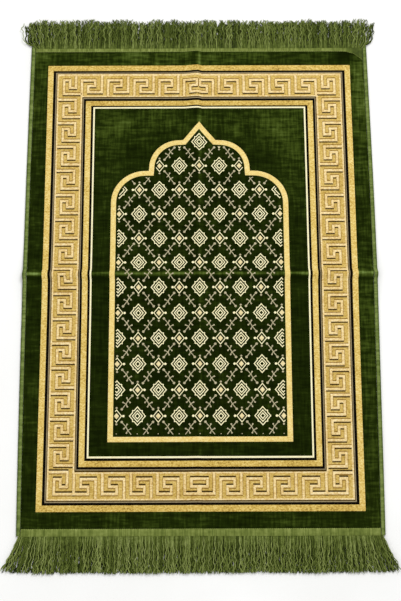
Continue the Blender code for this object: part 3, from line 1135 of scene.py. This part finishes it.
def makeCords(end, bed):
    heap = newHeap()
    shuffle = random.Random(77 + end["sign"] + (5 if bed else 0))
    edge = endOfCloth(end)
    half = clothHalfWidth(edge) + 0.5 * cloth["bindingWidth"]
    cords = fringe["bed"]["cords"] if bed else end["cords"]
    total = fringe["bunches"] * cords
    left = 0
    bunch = {}
    for k in range(total):
        if left == 0:
            left = shuffle.randint(round(0.6 * cords), round(1.4 * cords))
            bunch = {"middle": 2.0 * (k + 0.5 * left) / total - 1.0, "lean": shuffle.gauss(0.0, 0.0014),
                     "reach": 1.0 - shuffle.uniform(0.0, 0.6) * end["uneven"]}
        left -= 1
        share = 2.0 * (k + 0.5) / total - 1.0
        sign = math.copysign(1.0, share)
        root = share * half
        outermost = max(0.0, abs(share) - 0.955) / 0.045
        splay = (fringe["spread"] - half) * abs(share) ** 9 * sign
        splay *= 0.55 if end["bulge"] > 0.0 else 1.0
        bulge = end["bulge"] * sign * outermost * shuffle.uniform(0.2, 1.0)
        drawn = root + end["clump"] * (0.4 if bed else 1.0) * (bunch["middle"] * half - root)
        tip = drawn + splay + bunch["lean"] + shuffle.gauss(0.0, end["wander"] * (0.6 if bed else 1.0))
        tip = max(-fringe["spread"], min(fringe["spread"], tip))
        reach = end["reach"] * bunch["reach"] * (1.0 - end["uneven"] * shuffle.random() ** 2)
        reach *= 1.0 - 0.12 * outermost * shuffle.random()
        if bed:
            reach *= end["bedReach"]
            line = cordLine(end, root, tip, reach, 0.0, bulge, fringe["bed"]["step"], shuffle)
            radius = fringe["bed"]["radius"] * shuffle.uniform(0.85, 1.1)
            # painted shade: the bed cords take dark tones
            addCord(heap, line, radius, 4, shuffle.uniform(-0.45, 0.05), shuffle.uniform(0.0, 1.2))
        else:
            layer = shuffle.uniform(0.15, 1.0)
            line = cordLine(end, root, tip, reach, layer, bulge, fringe["step"], shuffle)
            radius = fringe["radius"] * shuffle.uniform(0.85, 1.15)
            # painted shade: cords lower in the heap are darker and the topmost lighter; the rest of the tone
            # differs at random
            tone = end["tone"] + 0.90 * layer + 0.65 * shuffle.random()
            addCord(heap, line, radius, 5, tone, shuffle.uniform(0.0, 1.2))
    name = ("fringe_bed_" if bed else "fringe_cords_") + end["name"]
    return makePiece(name, heap, fringeYarn)


fringePieces = []
for end in fringe["ends"]:
    tape = makeTape(end)
    cords = makeCords(end, False)
    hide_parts("fringe_" + end["name"])
    fringePieces += [tape, cords, makeCords(end, True)]

# Floor, light and camera

studio = {
    "floorHalf": 60.0,
    "floorColour": "fafaf9",
    "ambient": 0.62,
    "key": {"at": (0.9, 1.5, 2.9), "size": 1.6, "power": 58.0},
    "fill": {"at": (-1.6, -1.2, 2.4), "size": 2.4, "power": 16.0},
}


def makeFloor():
    half = studio["floorHalf"]
    mesh = bpy.data.meshes.new("floor")
    corners = [(-half, -half, 0.0), (half, -half, 0.0), (half, half, 0.0), (-half, half, 0.0)]
    mesh.from_pydata(corners, [], [(0, 1, 2, 3)])
    finish, tree, shader = newFinish("paleFloor", 0.9, specular=0.1)
    mottle = addNoise(tree, addStretch(tree, (1, 1, 1)), 3.0)
    shades = addRamp(tree, mottle, ((0.3, "f2f2f0"), (0.7, studio["floorColour"])))
    tree.links.new(shades, shader.inputs["Base Color"])
    mesh.materials.append(finish)
    floor = bpy.data.objects.new("floor", mesh)
    bpy.context.scene.collection.objects.link(floor)


def addSoftLight(name, values):
    lamp = bpy.data.lights.new(name, "AREA")
    lamp.size = values["size"]
    lamp.energy = values["power"]
    light = bpy.data.objects.new(name, lamp)
    light.location = values["at"]
    light.rotation_euler = (-Vector(values["at"])).to_track_quat("-Z", "Y").to_euler()
    bpy.context.scene.collection.objects.link(light)


def setLight():
    world = bpy.data.worlds.new("studioAir")
    bpy.context.scene.world = world
    world.use_nodes = True
    background = world.node_tree.nodes["Background"]
    background.inputs["Color"].default_value = (1.0, 1.0, 1.0, 1.0)
    background.inputs["Strength"].default_value = studio["ambient"]
    addSoftLight("keyLight", studio["key"])
    addSoftLight("fillLight", studio["fill"])
    bpy.context.scene.view_settings.view_transform = "Standard"


view = {
    "elevation": 70.0,            # degrees above the floor
    "turn": -0.2,                 # degrees about the vertical
    "distance": 3.37,
    "aim": (0.0011, -0.0377, 0.0040),
    "lens": 105.72,
}


def makeCamera():
    lens = bpy.data.cameras.new("camera")
    lens.lens = view["lens"]
    lens.sensor_width = 36.0
    lens.clip_start = 0.1
    camera = bpy.data.objects.new("camera", lens)
    rise = math.radians(view["elevation"])
    turn = math.radians(view["turn"])
    back = Vector((math.sin(turn) * math.cos(rise), -math.cos(turn) * math.cos(rise), math.sin(rise)))
    camera.location = Vector(view["aim"]) + view["distance"] * back
    camera.rotation_euler = (0.5 * math.pi - rise, 0.0, turn)
    bpy.context.scene.collection.objects.link(camera)
    bpy.context.scene.camera = camera


makeFloor()
setLight()
makeCamera()
print("floor, light and camera set")
